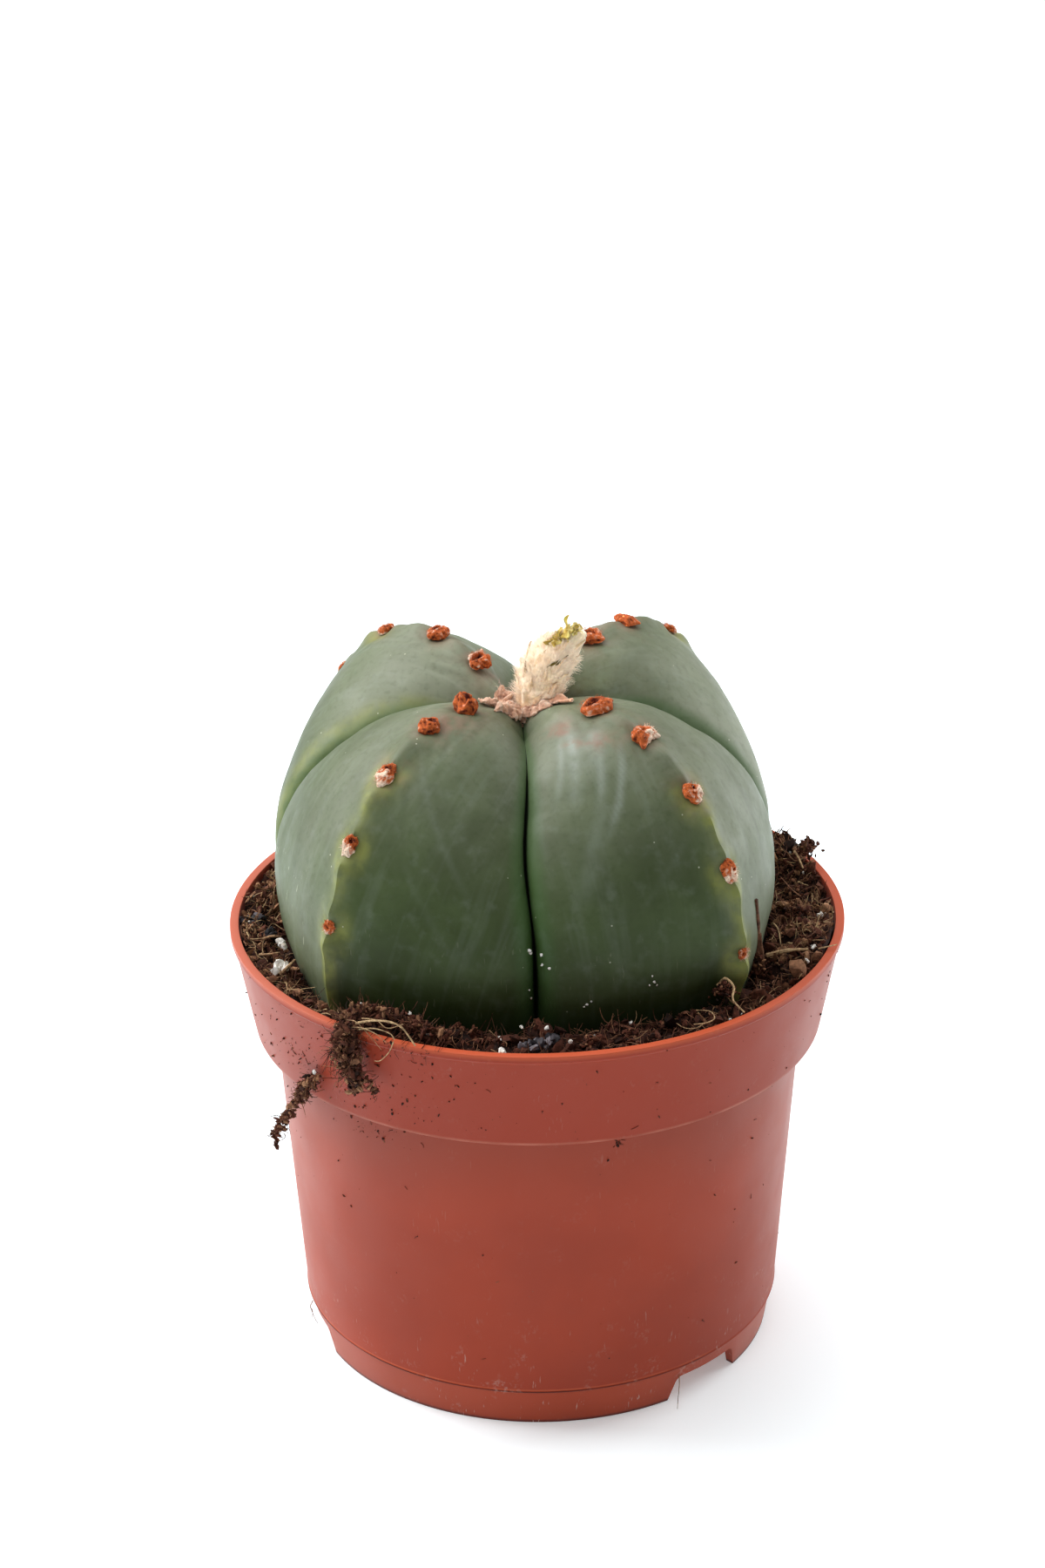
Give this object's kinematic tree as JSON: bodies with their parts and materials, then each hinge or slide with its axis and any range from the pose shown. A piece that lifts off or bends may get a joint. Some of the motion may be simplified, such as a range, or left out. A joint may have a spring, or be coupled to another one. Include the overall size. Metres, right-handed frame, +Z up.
{
  "type": "potted bishop's cap cactus",
  "caption": "Four-ribbed bishop's cap cactus with a spent flower at its crown, rooted in potting mix in a round plastic nursery pot with a collar.",
  "frame": {"origin": "on the surface that the pot stands on, at the pot's axis", "axes": "+Z up along the pot's axis; -Y is the front, where the furrow between the two front ribs faces"},
  "size_m": [0.105, 0.105, 0.1303],
  "materials": {
    "pot_plastic": "moulded terracotta-coloured polypropylene with a soft satin sheen",
    "potting_mix": "loose brown peat with fibres and white perlite grains",
    "cactus_skin": "matt grey-green waxy skin with rust-brown woolly buttons",
    "crown_wool": "matted dry tan wool",
    "dry_flower": "cream woolly hairs with pointed scales",
    "dry_petals": "shrivelled papery yellow petals"
  },
  "bodies": {
    "root": {"pot": "pot_plastic", "soil": "potting_mix", "stem": "cactus_skin", "crown_wool": "crown_wool", "flower_tube": "dry_flower", "flower_petals": "dry_petals", "peat_crumb": "potting_mix"}
  },
  "joints": []
}
